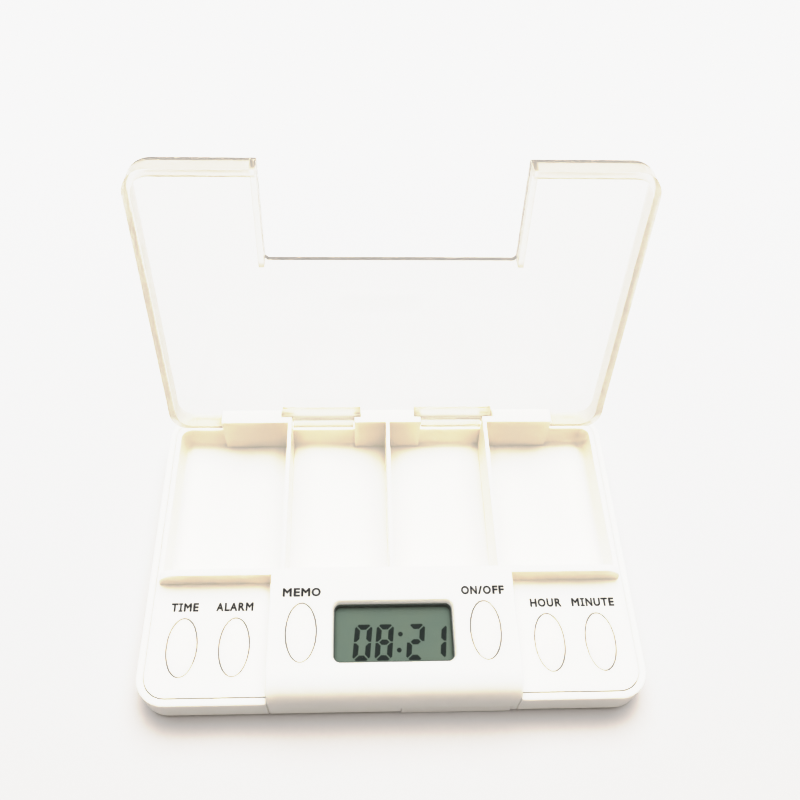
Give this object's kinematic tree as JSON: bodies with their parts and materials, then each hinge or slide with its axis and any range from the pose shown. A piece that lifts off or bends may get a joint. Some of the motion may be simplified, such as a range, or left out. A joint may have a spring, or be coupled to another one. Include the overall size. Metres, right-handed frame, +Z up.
{
  "type": "pill box with alarm",
  "caption": "Pocket pill box with a clear hinged lid over divided compartments and an alarm clock with a display and oval keys along its front.",
  "frame": {"origin": "centre of the case's flat underside", "axes": "+X along the case towards the hour and minute keys, +Y towards the hinge, +Z up; stored with the lid open as pictured"},
  "size_m": [0.115, 0.0919, 0.0853],
  "materials": {
    "white_abs": "satin moulded",
    "clear_polystyrene": "clear polished",
    "clear_acrylic": "clear polished",
    "lcd_glass": "matt polariser",
    "zebra_rubber": "matt",
    "gasket_foam": "matt",
    "key_rubber": "matt",
    "board_laminate": "satin lacquer",
    "epoxy_resin": "glossy",
    "crystal_can": "tinned",
    "buzzer_brass": "rolled",
    "cell_steel": "satin",
    "contact_steel": "nickel plated",
    "screw_steel": "zinc plated"
  },
  "bodies": {
    "case": {"bottom_case": "white_abs", "top_cover": "white_abs", "lcd_window": "clear_acrylic", "lcd_gasket": "gasket_foam", "lcd_panel": "lcd_glass", "lcd_frame": "white_abs", "zebra_strips": "zebra_rubber", "circuit_board": "board_laminate", "chip_blob": "epoxy_resin", "crystal": "crystal_can", "buzzer": "buzzer_brass", "coin_cell": "cell_steel", "battery_contact_top": "contact_steel", "battery_contact_side": "contact_steel", "case_screws": "screw_steel", "board_screws": "screw_steel"},
    "lid": {"lid": "clear_polystyrene"},
    "battery_door": {"battery_cover": "white_abs"},
    "time_key": {"time_button": "white_abs", "time_pad": "key_rubber"},
    "alarm_key": {"alarm_button": "white_abs", "alarm_pad": "key_rubber"},
    "memo_key": {"memo_button": "white_abs", "memo_pad": "key_rubber"},
    "on_off_key": {"on_off_button": "white_abs", "on_off_pad": "key_rubber"},
    "hour_key": {"hour_button": "white_abs", "hour_pad": "key_rubber"},
    "minute_key": {"minute_button": "white_abs", "minute_pad": "key_rubber"}
  },
  "joints": [
    {"name": "lid_hinge", "type": "hinge", "parent": "case", "child": "lid", "pos_m": [0, 0.0356, 0.0127], "axis": [1, 0, 0], "range_deg": [0, 101.66]},
    {"name": "battery_cover_slide", "type": "slide", "parent": "case", "child": "battery_door", "axis": [0, -1, 0], "range_m": [0, 0.026]},
    {"name": "time_press", "type": "slide", "parent": "case", "child": "time_key", "axis": [0, 0, -1], "range_m": [0, 0.0008], "stiffness_N_per_m": 500, "springref_m": -0.001},
    {"name": "alarm_press", "type": "slide", "parent": "case", "child": "alarm_key", "axis": [0, 0, -1], "range_m": [0, 0.0008], "stiffness_N_per_m": 500, "springref_m": -0.001},
    {"name": "memo_press", "type": "slide", "parent": "case", "child": "memo_key", "axis": [0, 0, -1], "range_m": [0, 0.0008], "stiffness_N_per_m": 500, "springref_m": -0.001},
    {"name": "on_off_press", "type": "slide", "parent": "case", "child": "on_off_key", "axis": [0, 0, -1], "range_m": [0, 0.0008], "stiffness_N_per_m": 500, "springref_m": -0.001},
    {"name": "hour_press", "type": "slide", "parent": "case", "child": "hour_key", "axis": [0, 0, -1], "range_m": [0, 0.0008], "stiffness_N_per_m": 500, "springref_m": -0.001},
    {"name": "minute_press", "type": "slide", "parent": "case", "child": "minute_key", "axis": [0, 0, -1], "range_m": [0, 0.0008], "stiffness_N_per_m": 500, "springref_m": -0.001}
  ]
}
